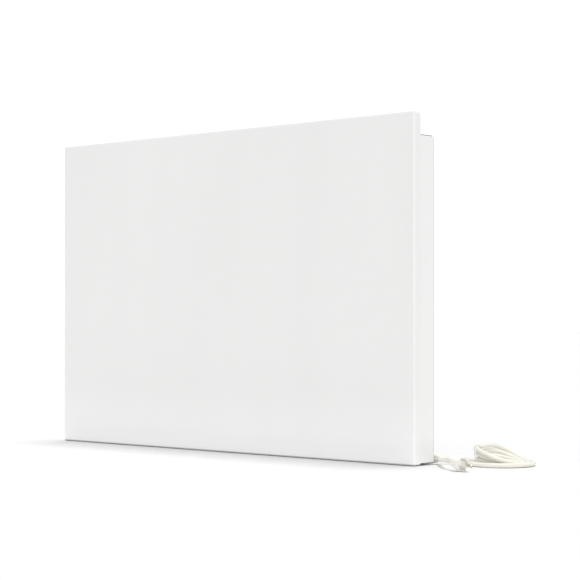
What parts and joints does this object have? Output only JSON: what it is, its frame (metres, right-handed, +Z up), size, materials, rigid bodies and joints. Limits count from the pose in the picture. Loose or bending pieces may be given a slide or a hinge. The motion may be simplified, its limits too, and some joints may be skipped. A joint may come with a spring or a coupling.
{
  "type": "wall convector heater",
  "caption": "Slim wall-hung convector: flat folded front panel on a shallower rear case, louvred top outlet, finned element inside, hook-on wall rail, and a hanked supply cord with its plug.",
  "frame": {"origin": "centre of the rectangle of the wall rail's fixing holes, on the wall plane", "axes": "+X along the panel towards the end where the cord leaves, +Y into the wall so the front faces -Y, +Z up"},
  "size_m": [1.0791, 0.213, 0.61],
  "materials": {
    "panel_paint": "satin white powder coat",
    "case_paint": "satin white powder coat",
    "back_steel": "galvanised sheet",
    "grille_paint": "matt grey powder coat",
    "zinc_steel": "zinc-plated sheet",
    "rail_steel": "galvanised strip",
    "shield_aluminium": "bright sheet",
    "fin_aluminium": "mill finish",
    "element_sheath": "oxidised tube",
    "board_fibre": "pressed mineral fibre",
    "white_ceramic": "unglazed",
    "screw_zinc": "zinc plated",
    "terminal_brass": "turned",
    "phenolic": "moulded",
    "block_plastic": "moulded",
    "wire_sleeve": "smooth insulation, one colour for each wire",
    "bumper_rubber": "matt",
    "outlet_plastic": "moulded",
    "cord_jacket": "smooth ivory jacket",
    "tie_plastic": "smooth strap",
    "plug_plastic": "satin moulding",
    "blade_nickel": "nickel plated"
  },
  "bodies": {
    "rail": {"wall_rail": "rail_steel"},
    "heater": {"front_panel": "panel_paint", "panel_stiffeners": "zinc_steel", "case_frame": "case_paint", "back_plate": "back_steel", "outlet_grille": "grille_paint", "heat_shield": "shield_aluminium", "insulation_board": "board_fibre", "insulation_pins": "zinc_steel", "element_tube": "element_sheath", "element_fins": "fin_aluminium", "element_brackets": "zinc_steel", "ceramic_bushings": "white_ceramic", "terminal_insulators": "white_ceramic", "element_terminals": "terminal_brass", "thermal_cutout": "phenolic", "terminal_block": "block_plastic", "supply_wires": "wire_sleeve", "live_wire": "wire_sleeve", "link_wire": "wire_sleeve", "neutral_wire": "wire_sleeve", "earth_wire": "wire_sleeve", "earth_stud": "terminal_brass", "hook_doublers": "zinc_steel", "wall_bumpers": "bumper_rubber", "back_plate_screws": "screw_zinc", "panel_screws": "screw_zinc", "bracket_screws": "screw_zinc", "outlet_screws": "screw_zinc", "cord_outlet": "outlet_plastic", "cord_sleeve": "outlet_plastic", "cord_lead": "cord_jacket", "cord_hank": "cord_jacket", "cord_plug_end": "cord_jacket", "hank_tie": "tie_plastic", "plug_body": "plug_plastic", "plug_sleeve": "plug_plastic", "plug_blades": "blade_nickel", "plug_ground_pin": "blade_nickel"}
  },
  "joints": [
    {"name": "heater_lift", "type": "slide", "parent": "rail", "child": "heater", "axis": [0, 0, 1], "range_m": [0, 0.0125]}
  ]
}
